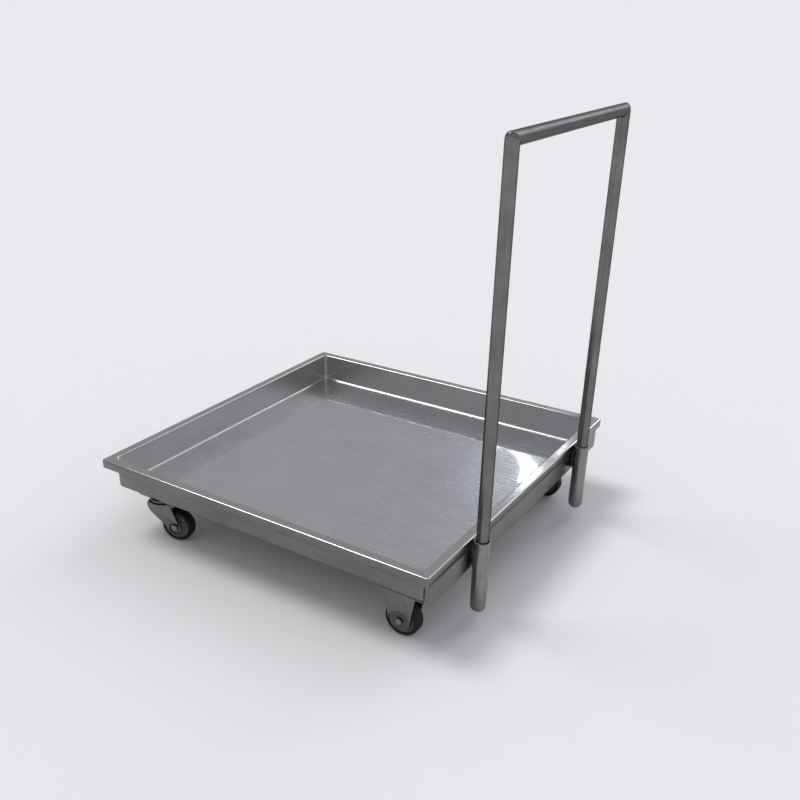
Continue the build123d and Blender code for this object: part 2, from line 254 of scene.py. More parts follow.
def satinSteel(name, light, dark, grainAlong, grainWidth, grainLength, roughLow, roughHigh, grainDepth,
               cloudSize, paintedShade=0.0, seams=None, edgeTint="#ffffff", dullFrom=0.65, dullTo=0.35):
    # rolled or drawn stainless with a fine directional grain: a soft sheen that streaks along the grain,
    # clouds of darker metal where hands and cloths have been, seams ground bright after welding, and
    # painted shade in corners.
    # The grain's noise turns dull below dullFrom and is dullest at dullTo. Real grain is a tenth of a
    # millimetre wide, and is drawn coarser here so that it shows.
    material, tree = newMaterial(name)
    place = addNode(tree, "ShaderNodeTexCoord")
    scale = [1 / (grainWidth * mm)] * 3
    scale["XYZ".index(grainAlong)] = 1 / (grainLength * mm)
    stretch = addNode(tree, "ShaderNodeMapping", {"Vector": place.outputs["Object"], "Scale": scale})
    grain = addNode(tree, "ShaderNodeTexNoise", {"Vector": stretch.outputs[0], "Scale": 1.0,
                                                 "Detail": satin["grainDetail"],
                                                 "Roughness": satin["grainGain"]})
    clouds = addNode(tree, "ShaderNodeTexNoise", {"Vector": place.outputs["Object"],
                                                  "Scale": 1 / (cloudSize * mm),
                                                  "Detail": satin["cloudDetail"],
                                                  "Roughness": satin["cloudGain"]})
    both = addNode(tree, "ShaderNodeMath", {0: grain.outputs["Fac"], 1: clouds.outputs["Fac"]},
                   operation="ADD")
    tone = addNode(tree, "ShaderNodeMapRange", {"Value": both.outputs[0], "From Min": satin["toneFrom"],
                                                "From Max": satin["toneTo"]})
    colour = addNode(tree, "ShaderNodeMix", {0: tone.outputs[0], 6: hexColour(dark),
                                             7: hexColour(light)}, data_type="RGBA")
    rough = addNode(tree, "ShaderNodeMapRange", {"Value": grain.outputs["Fac"], "From Min": dullTo,
                                                 "From Max": dullFrom, "To Min": roughHigh,
                                                 "To Max": roughLow})
    surface = colour.outputs[2]
    # painted shade: the colour darkens where ambient occlusion finds a corner or crease near
    if paintedShade:
        openness = addNode(tree, "ShaderNodeAmbientOcclusion", {"Distance": satin["paintedShadeReach"] * mm},
                           samples=satin["paintedShadeSamples"])
        paintedShadeShare = addNode(tree, "ShaderNodeMapRange", {"Value": openness.outputs["AO"],
                                                    "From Min": satin["paintedShadeFull"],
                                                    "From Max": satin["paintedShadeNone"],
                                                    "To Min": paintedShade, "To Max": 0.0})
        colour = addNode(tree, "ShaderNodeMix", {0: paintedShadeShare.outputs[0], 6: surface,
                                                 7: hexColour(satin["paintedShadeColour"])}, data_type="RGBA")
        surface = colour.outputs[2]
    if seams:
        seam = seamMask(tree, place, seams)
        colour = addNode(tree, "ShaderNodeMix", {0: seam, 6: surface, 7: hexColour(seams["colour"])},
                         data_type="RGBA")
        surface = colour.outputs[2]
    bump = addNode(tree, "ShaderNodeBump", {"Height": grain.outputs["Fac"], "Distance": grainDepth * mm,
                                            "Strength": 1.0})
    shader = addNode(tree, "ShaderNodeBsdfPrincipled", {
        "Base Color": surface, "Metallic": 1.0, "Roughness": rough.outputs[0],
        "Specular Tint": hexColour(edgeTint), "Normal": bump.outputs[0]})
    closeMaterial(tree, shader)
    return material


def seamMask(tree, place, seams):
    # where the folded corners of the tray are welded: on both diagonals, outside the flat floor
    across = addNode(tree, "ShaderNodeMapping", {"Vector": place.outputs["Object"],
                                                 "Location": (-seams["centreX"] * mm, 0, 0)})
    folded = addNode(tree, "ShaderNodeVectorMath", {0: across.outputs[0]}, operation="ABSOLUTE")
    axes = addNode(tree, "ShaderNodeSeparateXYZ", {0: folded.outputs[0]})
    gap = addNode(tree, "ShaderNodeMath", {0: axes.outputs[0], 1: axes.outputs[1]}, operation="SUBTRACT")
    distance = addNode(tree, "ShaderNodeMath", {0: gap.outputs[0]}, operation="ABSOLUTE")
    near = addNode(tree, "ShaderNodeMapRange", {"Value": distance.outputs[0],
                                                "From Min": seams["width"] * mm,
                                                "From Max": 2 * seams["width"] * mm,
                                                "To Min": seams["strength"], "To Max": 0.0},
                   interpolation_type="SMOOTHSTEP")
    outside = addNode(tree, "ShaderNodeMath", {0: axes.outputs[0], 1: seams["from"] * mm},
                      operation="GREATER_THAN")
    mask = addNode(tree, "ShaderNodeMath", {0: near.outputs[0], 1: outside.outputs[0]},
                   operation="MULTIPLY")
    return mask.outputs[0]


def mouldedPlastic(name, light, dark, grainSize, roughness, grainDepth, shine=0.5, grainDetail=4.0):
    # moulded plastic or rubber: an even tone with a fine speckle, and a dull sheen broken by its texture.
    # The speckle is drawn coarser than the real mould's, so that it shows.
    material, tree = newMaterial(name)
    place = addNode(tree, "ShaderNodeTexCoord")
    grain = addNode(tree, "ShaderNodeTexNoise", {"Vector": place.outputs["Object"],
                                                 "Scale": 1 / (grainSize * mm),
                                                 "Detail": grainDetail})
    colour = addNode(tree, "ShaderNodeMix", {0: grain.outputs["Fac"], 6: hexColour(dark),
                                             7: hexColour(light)}, data_type="RGBA")
    bump = addNode(tree, "ShaderNodeBump", {"Height": grain.outputs["Fac"], "Distance": grainDepth * mm})
    shader = addNode(tree, "ShaderNodeBsdfPrincipled", {
        "Base Color": colour.outputs[2], "Roughness": roughness, "Specular IOR Level": shine,
        "Normal": bump.outputs[0]})
    closeMaterial(tree, shader)
    return material


traySeams = {"centreX": -17.25, "from": 396.0, "width": 2.0, "strength": 0.14, "colour": "#cfcfd1"}
finishes = {
    # sheet brushed along the tray: nearly a mirror between the dull streaks of its grain
    "innerSheet": satinSteel("brushedStainlessSheet", "#c9c9cc", "#bdbdc0", "X", grainWidth=0.9,
                             grainLength=60, roughLow=0.03, roughHigh=0.34, grainDepth=0.0003,
                             cloudSize=110, seams=traySeams, dullFrom=0.54, dullTo=0.44),
    # walls rubbed evenly all over: soft reflections without a sharp edge
    "wallSheet": satinSteel("satinStainlessWall", "#cccbca", "#bebdbb", "X", grainWidth=0.9,
                            grainLength=60, roughLow=0.24, roughHigh=0.30, grainDepth=0.0002,
                            cloudSize=90, seams=traySeams),
    # a rim worn smooth by hands and goods: bright lines where it folds
    "rimSheet": satinSteel("satinStainlessRim", "#bab9b7", "#aaa9a6", "X", grainWidth=0.9,
                           grainLength=60, roughLow=0.05, roughHigh=0.14, grainDepth=0.0004,
                           cloudSize=90, seams=traySeams),
    # the outside of the pan: dull and warm grey, a darker copy of the sheet that is painted shade, with
    # painted shade in its corners too
    "shadedOuterSheet": satinSteel("dullPaintedShadeSheet", "#868582", "#706e6a", "X", grainWidth=0.9,
                             grainLength=45, roughLow=0.24, roughHigh=0.38, grainDepth=0.004,
                             cloudSize=70, paintedShade=0.7),
    # drawn tube, with long streaks up it, sides that stay dark and painted shade in its corners
    "tubeSteel": satinSteel("drawnStainlessTube", "#807f7d", "#646361", "Z", grainWidth=0.8,
                            grainLength=90, roughLow=0.16, roughHigh=0.30, grainDepth=0.003,
                            cloudSize=60, paintedShade=0.8, edgeTint="#7c7c7c"),
    # the bar is dulled by hands, so that its highlight is broad; painted shade in its corners
    "barSteel": satinSteel("drawnStainlessBar", "#777674", "#62615f", "Y", grainWidth=0.8,
                           grainLength=90, roughLow=0.28, roughHigh=0.38, grainDepth=0.003,
                           cloudSize=60, paintedShade=0.8, edgeTint="#b4b4b4"),
    # sockets ground after welding: paler than the tubes, in shorter streaks, with painted shade in corners
    "socketSteel": satinSteel("groundStainlessSocket", "#979594", "#7f7d7a", "Z", grainWidth=0.8,
                              grainLength=30, roughLow=0.20, roughHigh=0.34, grainDepth=0.004,
                              cloudSize=30, paintedShade=0.8),
    # pressed forks: cloudy and matt, with painted shade where they bend
    "forkSteel": satinSteel("pressedStainlessFork", "#838384", "#6c6c6d", "Z", grainWidth=0.8,
                            grainLength=12, roughLow=0.28, roughHigh=0.42, grainDepth=0.006,
                            cloudSize=14, paintedShade=0.9),
    # the forks' round pressed-in ears, in a darker copy of the fork's steel: painted shade in their recess,
    # with a little painted shade in corners too
    "shadedEarSteel": satinSteel("paintedShadeStainlessEar", "#747475", "#606061", "Z", grainWidth=0.8,
                           grainLength=12, roughLow=0.26, roughHigh=0.38, grainDepth=0.006,
                           cloudSize=10, paintedShade=0.35),
    # turned bolts and nuts: short fine marks along them, and a little painted shade in corners
    "fastenerSteel": satinSteel("turnedStainlessFastener", "#929292", "#777777", "Y", grainWidth=0.5,
                                grainLength=4, roughLow=0.3, roughHigh=0.4, grainDepth=0.003,
                                cloudSize=6, paintedShade=0.25),
    # polyamide wheel cores: mid grey, softly shiny
    "corePlastic": mouldedPlastic("mouldedGreyPolyamide", "#5c5c5e", "#4c4c4e", grainSize=1.5,
                                  roughness=0.42, grainDepth=0.04),
    # acetal bushes: pale and waxy
    "bushPlastic": mouldedPlastic("mouldedPaleAcetal", "#d8d6cf", "#c8c6bf", grainSize=1.5,
                                  roughness=0.4, grainDepth=0.03),
    # rubber tyres: nearly black, with a weak broad sheen
    "tyreRubber": mouldedPlastic("blackThermoplasticRubber", "#111112", "#0a0a0a", grainSize=1.2,
                                 roughness=0.55, grainDepth=0.06, shine=0.3),
}
slotFinish = {
    "tray_steel": "shadedOuterSheet",
    "tube_steel": "tubeSteel",
    "caster_steel": "forkSteel",
    "fastener_steel": "fastenerSteel",
    "core_plastic": "corePlastic",
    "bush_plastic": "bushPlastic",
    "tyre_rubber": "tyreRubber",
}
slotOf = {part["node"]: part["material_slot"] for part in frame["record"]["subparts"]}
for name, obj in nodes.items():
    finish = finishes[slotFinish[slotOf[name]]]
    if obj.material_slots:
        obj.material_slots[0].material = finish
    else:
        obj.data.materials.append(finish)
print("finishes: given to", len(nodes), "CAD nodes")

# Shared ways of making pieces
shaping = {
    "mergeGap": 0.0005,         # corners nearer than this become one
    "creaseAngle": 34,          # edges that bend more stay sharp to the eye
    "copyMergeGap": 0.001,
    "flatAngle": 0.5,           # triangles of a CAD shape that bend less are one face
    "brokenAngle": 40,          # edges of a CAD shape that bend more are broken
    "brokenSteps": 2,
    "pole": 0.0001,             # radius of a ring that closes to a point
    "hexChamfer": 0.35,         # how far a nut's chamfer comes in from its flats
    "hexSlope": 30,
    "beadSides": 8,
    "puddlePoints": 3,          # points along each puddle of a weld bead
    "puddleSwell": 0.14,
    "beadTaper": 0.4,           # share of its size at an open end
}


def turned(angle):
    return Matrix.Rotation(math.radians(angle), 4, "Z")


def moved(x, y, z):
    return Matrix.Translation((x * mm, y * mm, z * mm))


alongAxle = Matrix.Rotation(math.radians(-90), 4, "X")       # a turned shape's axis from +Z to +Y


def finishPiece(bm, name, replaced, finishNames=None, creaseAngle=shaping["creaseAngle"]):
    # a finished piece takes the place, the body and the slot of the CAD nodes that it stands for
    bmesh.ops.remove_doubles(bm, verts=bm.verts, dist=shaping["mergeGap"] * mm)
    bmesh.ops.recalc_face_normals(bm, faces=bm.faces)
    for face in bm.faces:
        face.smooth = True
    for edge in bm.edges:
        edge.smooth = edge.calc_face_angle(0) < math.radians(creaseAngle)
    mesh = bpy.data.meshes.new(name)
    bm.to_mesh(mesh)
    bm.free()
    for finishName in finishNames or [slotFinish[slotOf[replaced[0]]]]:
        mesh.materials.append(finishes[finishName])
    piece = bpy.data.objects.new(name, mesh)
    scene.collection.objects.link(piece)
    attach(piece, nodes[replaced[0]]["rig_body"])
    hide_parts(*replaced)
    return piece


def extrudeLoop(bm, loop):
    # one more ring on an open loop: loop is {vertex: its tag}, and each new vertex keeps the tag below it
    edges = [e for e in bm.edges if e.verts[0] in loop and e.verts[1] in loop]
    grown = bmesh.ops.extrude_edge_only(bm, edges=edges)["geom"]
    ring = {}
    for vert in grown:
        if isinstance(vert, bmesh.types.BMVert):
            below = next(e.other_vert(vert) for e in vert.link_edges if e.other_vert(vert) in loop)
            ring[vert] = loop[below]
    faces = [item for item in grown if isinstance(item, bmesh.types.BMFace)]
    return ring, faces


def startLoop(bm, segments):
    # a unit circle whose vertices are tagged with their angles
    circle = bmesh.ops.create_circle(bm, segments=segments, radius=1.0)["verts"]
    return {vert: math.atan2(vert.co.y, vert.co.x) for vert in circle}


def placeRing(loop, radius, height):
    for vert, angle in loop.items():
        reach = radius(angle) if callable(radius) else radius
        drop = height(angle) if callable(height) else height
        vert.co = (reach * math.cos(angle) * mm, reach * math.sin(angle) * mm, drop * mm)


def stackRings(bm, rings, segments, place):
    # a turned shape: a circle extruded ring by ring, each ring (radius, height) on the local Z axis
    before = set(bm.verts)
    loop = startLoop(bm, segments)
    placeRing(loop, *rings[0])
    for radius, height in rings[1:]:
        loop = extrudeLoop(bm, loop)[0]
        placeRing(loop, radius, height)
    bmesh.ops.transform(bm, matrix=place, verts=[v for v in bm.verts if v not in before])


def arc(centreRadius, centreHeight, size, start, end, steps):
    # points of a rounded edge in a profile, as (radius, height)
    angles = [math.radians(start + (end - start) * step / steps) for step in range(steps + 1)]
    return [(centreRadius + size * math.cos(a), centreHeight + size * math.sin(a)) for a in angles]


def hexReach(acrossFlats):
    # how far a hexagon reaches from its middle at each angle
    def reach(angle):
        return acrossFlats / 2 / math.cos((angle + math.pi / 6) % (math.pi / 3) - math.pi / 6)
    return reach


def hexRings(acrossFlats, low, high, chamferLow, chamferHigh, bore):
    # a nut or a bolt head: hexagonal, with a chamfer turned on its ends
    reach = hexReach(acrossFlats)
    flat = acrossFlats / 2 - shaping["hexChamfer"]
    slope = math.tan(math.radians(shaping["hexSlope"]))

    def shoulder(end, sense, chamfered):
        return lambda angle: end + sense * (slope * (reach(angle) - flat) if chamfered else 0.0)
    rings = [(bore, low)]
    if chamferLow:
        rings.append((flat, low))
    rings += [(reach, shoulder(low, 1, chamferLow)), (reach, shoulder(high, -1, chamferHigh))]
    if chamferHigh:
        rings.append((flat, high))
    return rings + [(bore, high)]


def softenedCopy(bm, node, width):
    # the CAD shape with its sharp edges broken, as on deburred sheet
    bm.from_mesh(nodes[node].data)
    bmesh.ops.remove_doubles(bm, verts=bm.verts, dist=shaping["copyMergeGap"] * mm)
    bmesh.ops.dissolve_limit(bm, angle_limit=math.radians(shaping["flatAngle"]), verts=bm.verts,
                             edges=bm.edges)
    sharp = [e for e in bm.edges if e.calc_face_angle(0) > math.radians(shaping["brokenAngle"])]
    bmesh.ops.bevel(bm, geom=sharp, offset=width * mm, offset_type="OFFSET",
                    segments=shaping["brokenSteps"], profile=0.5, affect="EDGES", clamp_overlap=False,
                    material=-1)


def addBead(bm, corners, size, ripple, closed):
    # a weld bead along a path: overlapping puddles a few millimetres long
    points = []
    runs = list(zip(corners, corners[1:] + corners[:1] if closed else corners[1:]))
    for start, end in runs:
        steps = max(2, round((end - start).length / (ripple / shaping["puddlePoints"])))
        points += [start.lerp(end, step / steps) for step in range(steps)]
    if not closed:
        points.append(runs[-1][1])
    before = set(bm.verts)
    loop = startLoop(bm, shaping["beadSides"])
    for index, point in enumerate(points):
        if index:
            loop = extrudeLoop(bm, loop)[0]
        ahead = points[(index + 1) % len(points)] if closed or index + 1 < len(points) else None
        way = (ahead - point if ahead else point - points[index - 1]).normalized()
        turn = way.to_track_quat("Z", "Y")
        puddle = 2 * math.pi * index / shaping["puddlePoints"]
        swell = size * (1 + shaping["puddleSwell"] * math.sin(puddle))
        if not closed and index in (0, len(points) - 1):
            swell = size * shaping["beadTaper"]
        for vert, angle in loop.items():
            vert.co = (point + turn @ Vector((math.cos(angle), math.sin(angle), 0)) * swell) * mm
    ends = [e for e in bm.edges if e.is_boundary and e.verts[0] not in before]
    if closed:
        bmesh.ops.bridge_loops(bm, edges=ends)
    else:
        bmesh.ops.holes_fill(bm, edges=ends, sides=shaping["beadSides"])


# Tray pan
tray = {
    "centreX": -17.25,
    "floorTop": 111.0,
    "rimTop": 181.0,
    "insideHalf": 400.0,
    "sheet": 2.0,
    "bend": 5.0,                # inside radius between floor and walls
    "cornerRadius": 8.0,
    "cornerSteps": 4,
    "rimFlat": 22.5,
    "fold": 3.5,                # rounding of the rim's two folds
    "foldSteps": 5,
    "rimCorner": 4.0,
    "rimFinishTo": 70,          # degrees round the outer fold that the rim's finish reaches
    "lip": 20.0,
    "edge": 0.5,                # broken edge of the lip
    "gridCells": 56,
    "dish": 0.9,                # how far the floor sags in its middle
    "ripple": 0.22,             # the oil-canning that rolled sheet keeps
    "waveX": (5.1, 1.3),        # how often it repeats across half the floor, in radians, and its start
    "waveY": (4.3, -0.6),
    "hold": 1.0,                # narrow strips beside each bend, which keep the flats flat
    "slack": 0.01,
    "creaseAngle": 50,
    "finishes": ["innerSheet", "shadedOuterSheet", "wallSheet", "rimSheet"],
}


def trayRings():
    # every ring of the pan from the floor's edge over the rim and back underneath:
    # (half width, corner radius, height, which of the pan's finishes is on the face up to it)
    # the outer faces take the darker finish, whose darkness is painted shade
    floorFace, shadedOuterFace, wallFace, rimFace = range(len(tray["finishes"]))
    half, sheet, bend, fold = (tray[key] for key in ("insideHalf", "sheet", "bend", "fold"))
    low, top = tray["floorTop"], tray["rimTop"]
    corner, rimCorner = tray["cornerRadius"], tray["rimCorner"]
    rimHalf = half + tray["rimFlat"]
    hold, edge = tray["hold"], tray["edge"]
    quarter = [math.radians(90 * step / tray["foldSteps"]) for step in range(1, tray["foldSteps"] + 1)]
    rimEnd = math.radians(tray["rimFinishTo"])
    rings = [(half - bend, corner - bend, low, floorFace)]
    for a in quarter:
        rings.append((half - bend + bend * math.sin(a), corner - bend + bend * math.sin(a),
                      low + bend * (1 - math.cos(a)), wallFace))
    rings += [(half, corner, low + bend + hold, wallFace), (half, corner, top - fold - hold, wallFace),
              (half, corner, top - fold, wallFace)]
    for a in quarter:
        rings.append((half + fold * (1 - math.cos(a)), corner + fold * (1 - math.cos(a)),
                      top - fold + fold * math.sin(a), rimFace))
    rings += [(half + fold + hold, corner + fold + hold, top, rimFace),
              (rimHalf - fold - hold, rimCorner - fold + hold, top, rimFace),
              (rimHalf - fold, rimCorner - fold, top, rimFace)]
    for a in quarter:
        rings.append((rimHalf - fold + fold * math.sin(a), rimCorner - fold + fold * math.sin(a),
                      top - fold + fold * math.cos(a), rimFace if a < rimEnd else shadedOuterFace))
    bottom = top - tray["lip"]
    rings += [(rimHalf, rimCorner, top - fold - hold, shadedOuterFace),
              (rimHalf, rimCorner, bottom + edge, shadedOuterFace),
              (rimHalf - edge, rimCorner - edge, bottom, shadedOuterFace),
              (rimHalf - sheet + edge, rimCorner - sheet + edge, bottom, shadedOuterFace),
              (rimHalf - sheet, rimCorner - sheet, bottom + edge, shadedOuterFace)]
    inner = fold - sheet
    under = top - sheet
    for a in [0.0] + quarter:
        rings.append((rimHalf - sheet - inner * (1 - math.cos(a)),
                      rimCorner - sheet - inner * (1 - math.cos(a)),
                      under - inner + inner * math.sin(a), shadedOuterFace))
    wall = half + sheet
    for a in reversed([0.0] + quarter):
        rings.append((wall + inner * (1 - math.cos(a)), corner + sheet + inner * (1 - math.cos(a)),
                      under - inner + inner * math.sin(a), shadedOuterFace))
    outerBend = bend + sheet
    for a in reversed([0.0] + quarter):
        rings.append((half - bend + outerBend * math.sin(a), corner - bend + outerBend * math.sin(a),
                      low + bend - outerBend * math.cos(a), shadedOuterFace))
    return rings


def trayPlace(tag, half, radius, height):
    # a tag is (side x, side y, distance along it) on a straight run, or a corner's two signs and its angle
    kind, signX, signY, along = tag
    if kind == "side":
        return Vector((signX * half if signX else along, signY * half if signY else along, height))
    middle = half - radius
    return Vector((signX * (middle + radius * math.cos(along)), signY * (middle + radius * math.sin(along)),
                   height))


def makeTrayPan():
    bm = bmesh.new()
    floorHalf = tray["insideHalf"] - tray["bend"] - tray["hold"]
    floorCorner = tray["cornerRadius"] - tray["bend"]
    bmesh.ops.create_grid(bm, x_segments=tray["gridCells"], y_segments=tray["gridCells"], size=floorHalf)
    corners = [v for v in bm.verts if len(v.link_faces) == 1]
    bmesh.ops.bevel(bm, geom=corners, offset=floorCorner, segments=tray["cornerSteps"], profile=0.5,
                    affect="VERTICES", material=-1)
    middle = floorHalf - floorCorner
    loop = {}
    for vert in bm.verts:
        if not vert.is_boundary:
            continue
        x, y = vert.co.x, vert.co.y
        if min(abs(x), abs(y)) > middle - tray["slack"]:
            angle = math.atan2(abs(y) - middle, abs(x) - middle)
            loop[vert] = ("corner", math.copysign(1, x), math.copysign(1, y), angle)
        elif abs(x) > abs(y):
            loop[vert] = ("side", math.copysign(1, x), 0, y)
        else:
            loop[vert] = ("side", 0, math.copysign(1, y), x)
    (repeatX, startX), (repeatY, startY) = tray["waveX"], tray["waveY"]
    for vert in bm.verts:
        x, y = vert.co.x / floorHalf, vert.co.y / floorHalf
        inward = (1 - x ** 2) * (1 - y ** 2)
        wave = math.sin(repeatX * x + startX) * math.cos(repeatY * y + startY)
        vert.co.z = tray["floorTop"] - inward * (tray["dish"] + tray["ripple"] * wave)
    for half, radius, height, finish in trayRings():
        loop, faces = extrudeLoop(bm, loop)
        for vert, tag in loop.items():
            vert.co = trayPlace(tag, half, radius, height)
        for face in faces:
            face.material_index = finish
    underside = bmesh.ops.contextual_create(bm, geom=[e for e in bm.edges if e.is_boundary])["faces"]
    for face in underside:
        face.material_index = tray["finishes"].index("shadedOuterSheet")
    bmesh.ops.transform(bm, matrix=moved(tray["centreX"], 0, 0) @ Matrix.Scale(mm, 4), verts=bm.verts)
    finishPiece(bm, "trayPan", ["tray_pan"], tray["finishes"], tray["creaseAngle"])


makeTrayPan()
print("tray: pan formed")

# Rail, spacers and caster pads: sheet with broken edges, welded on
welds = {
    "edge": 0.4,                # how far the sheet's edges are broken
    "spacerBead": 1.4,          # radius of the bead down each side of a spacer
    "spacerBeadOut": 0.3,       # how far its middle stands off the spacer's side
    "railBeadOut": 0.6,         # and off the rail
    "padBead": 1.8,             # radius of the bead round a pad
    "padBeadDrop": 0.7,         # how far its middle is below the tray
    "ripple": 2.4,              # length of a puddle
    "railFace": 403.25,         # outer face of the rail, under the rim
    "spacerWidth": 8.0,
    "spacerTop": 160.0,
    "spacerLow": 124.0,
    "padHalf": (50.0, 22.0),
    "trayUnderside": 109.0,
}


def pieceName(node):
    first, *others = node.split("_")
    return first + "".join(word.capitalize() for word in others)


def makeWelded():
    for node in ("handle_rail", "rail_cap_front", "rail_cap_rear"):
        bm = bmesh.new()
        softenedCopy(bm, node, welds["edge"])
        finishPiece(bm, pieceName(node), [node])
    for node in ("socket_spacer_front", "socket_spacer_rear"):
        bm = bmesh.new()
        softenedCopy(bm, node, welds["edge"])
        low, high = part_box(node)
        middle = (low.y + high.y) / 2 / mm
        for side in (-1, 1):
            y = middle + side * (welds["spacerWidth"] / 2 + welds["spacerBeadOut"])
            start = Vector((welds["railFace"] + welds["railBeadOut"], y, welds["spacerLow"]))
            addBead(bm, [start, Vector((start.x, y, welds["spacerTop"]))], welds["spacerBead"],
                    welds["ripple"], False)
        finishPiece(bm, pieceName(node), [node])
    for corner in ("fl", "fr", "rl", "rr"):
        node = "caster_pad_" + corner
        bm = bmesh.new()
        softenedCopy(bm, node, welds["edge"])
        low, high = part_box(node)
        middle = (low + high) / 2 / mm
        halfX, halfY = welds["padHalf"]
        z = welds["trayUnderside"] - welds["padBeadDrop"]
        path = [Vector((middle.x + x * halfX, middle.y + y * halfY, z))
                for x, y in ((-1, -1), (1, -1), (1, 1), (-1, 1))]
        addBead(bm, path, welds["padBead"], welds["ripple"], True)
        finishPiece(bm, "casterPad" + corner.upper(), [node])


makeWelded()
print("tray: rail, spacers and pads welded on")

# Handle sockets
socket = {
    "x": 423.75,
    "spread": 500.0,
    "radius": 16.0,
    "wall": 3.0,
    "low": 34.0,
    "top": 181.0,
    "mouthRound": 0.9,          # rounding of the mouth's two edges
    "mouthSteps": 4,
    "seamGap": 0.25,            # the fine line left where the round end is welded on and ground
    "domeFrom": -1,             # degrees round the dome, from its rim to just short of its pole
    "domeTo": -89.5,
    "domeSteps": 22,
    "segments": 64,
}


def makeSockets():
    outer, inner = socket["radius"], socket["radius"] - socket["wall"]
    low, top, mouth, gap = (socket[key] for key in ("low", "top", "mouthRound", "seamGap"))
    pole = shaping["pole"]
    tube = [(inner, low), (outer - gap, low), (outer, low + gap)]
    tube += arc(outer - mouth, top - mouth, mouth, 0, 90, socket["mouthSteps"])
    tube += arc(inner + mouth, top - mouth, mouth, 90, 180, socket["mouthSteps"])
    tube += [(inner, low)]
    dome = [(pole, low), (outer - gap, low)]
    dome += arc(0, low, outer, socket["domeFrom"], socket["domeTo"], socket["domeSteps"])
    dome += [(pole, low - outer)]
    for end, side in (("front", -1), ("rear", 1)):
        place = moved(socket["x"], side * socket["spread"] / 2, 0)
        bm = bmesh.new()
        stackRings(bm, tube, socket["segments"], place)
        finishPiece(bm, "socketTube" + end.capitalize(), ["socket_" + end], ["socketSteel"])
        bm = bmesh.new()
        stackRings(bm, dome, socket["segments"], place)
        finishPiece(bm, "socketCap" + end.capitalize(), ["socket_cap_" + end], ["socketSteel"])


makeSockets()
print("sockets: two tubes with round ends")

# Handle
handle = {
    "radius": 12.5,
    "wall": 1.5,
    "low": 34.3,
    "boreDepth": 90.0,          # how far up the open end is modelled hollow
    "endEdge": 0.4,             # broken edge of the open end
    "barHeight": 909.0,
    "straightEnd": 40.0,        # how far under the bar the last straight ring is
    "cornerInside": 5.0,        # the welded corners are ground round: radius inside
    "cornerOutside": 8.0,       # and outside
    "cornerSteps": 8,
    "mitre": 45,
    "segments": 64,
}


def cornerPoint(side, angle, turn):
    # a fibre of the tube on its way round a top corner, turn 0 on the upright and 90 on the bar
    radius = handle["radius"]
    out = radius * math.cos(angle)
    share = (out + radius) / (2 * radius)
    bend = handle["cornerInside"] + share * (handle["cornerOutside"] - handle["cornerInside"])
    turn = math.radians(turn)
    return Vector((socket["x"] + radius * math.sin(angle),
                   side * (socket["spread"] / 2 + out - bend + bend * math.cos(turn)),
                   handle["barHeight"] + out - bend + bend * math.sin(turn))) * mm


def uprightPoint(side, reach, height, angle):
    return Vector((socket["x"] + reach * math.sin(angle),
                   side * (socket["spread"] / 2 + reach * math.cos(angle)), height)) * mm


def growTo(bm, loop, place):
    loop = extrudeLoop(bm, loop)[0]
    for vert, angle in loop.items():
        vert.co = place(angle)
    return loop


def closeEnds(bm):
    bmesh.ops.holes_fill(bm, edges=[e for e in bm.edges if e.is_boundary], sides=handle["segments"])


def makeHandle():
    radius, inner = handle["radius"], handle["radius"] - handle["wall"]
    steps, mitre, low, edge = (handle[key] for key in ("cornerSteps", "mitre", "low", "endEdge"))
    for end, side in (("front", -1), ("rear", 1)):
        bm = bmesh.new()
        loop = startLoop(bm, handle["segments"])
        for vert, angle in loop.items():
            vert.co = uprightPoint(side, inner, low + handle["boreDepth"], angle)
        for reach, height in ((inner, low), (radius - edge, low), (radius, low + edge),
                              (radius, handle["barHeight"] - handle["straightEnd"])):
            loop = growTo(bm, loop, lambda angle: uprightPoint(side, reach, height, angle))
        for step in range(steps + 1):
            loop = growTo(bm, loop, lambda angle: cornerPoint(side, angle, mitre * step / steps))
        closeEnds(bm)
        finishPiece(bm, "upright" + end.capitalize(), ["upright_" + end])
    bm = bmesh.new()
    loop = startLoop(bm, handle["segments"])
    for vert, angle in loop.items():
        vert.co = cornerPoint(-1, angle, mitre)
    for step in range(1, steps + 1):
        loop = growTo(bm, loop, lambda angle: cornerPoint(-1, angle, mitre + mitre * step / steps))
    for step in range(steps + 1):
        loop = growTo(bm, loop, lambda angle: cornerPoint(1, angle, 2 * mitre - mitre * step / steps))
    closeEnds(bm)
    finishPiece(bm, "handleBar", ["handle_bar"], ["barSteel"])


makeHandle()
print("handle: two uprights and a bar, corners ground round")

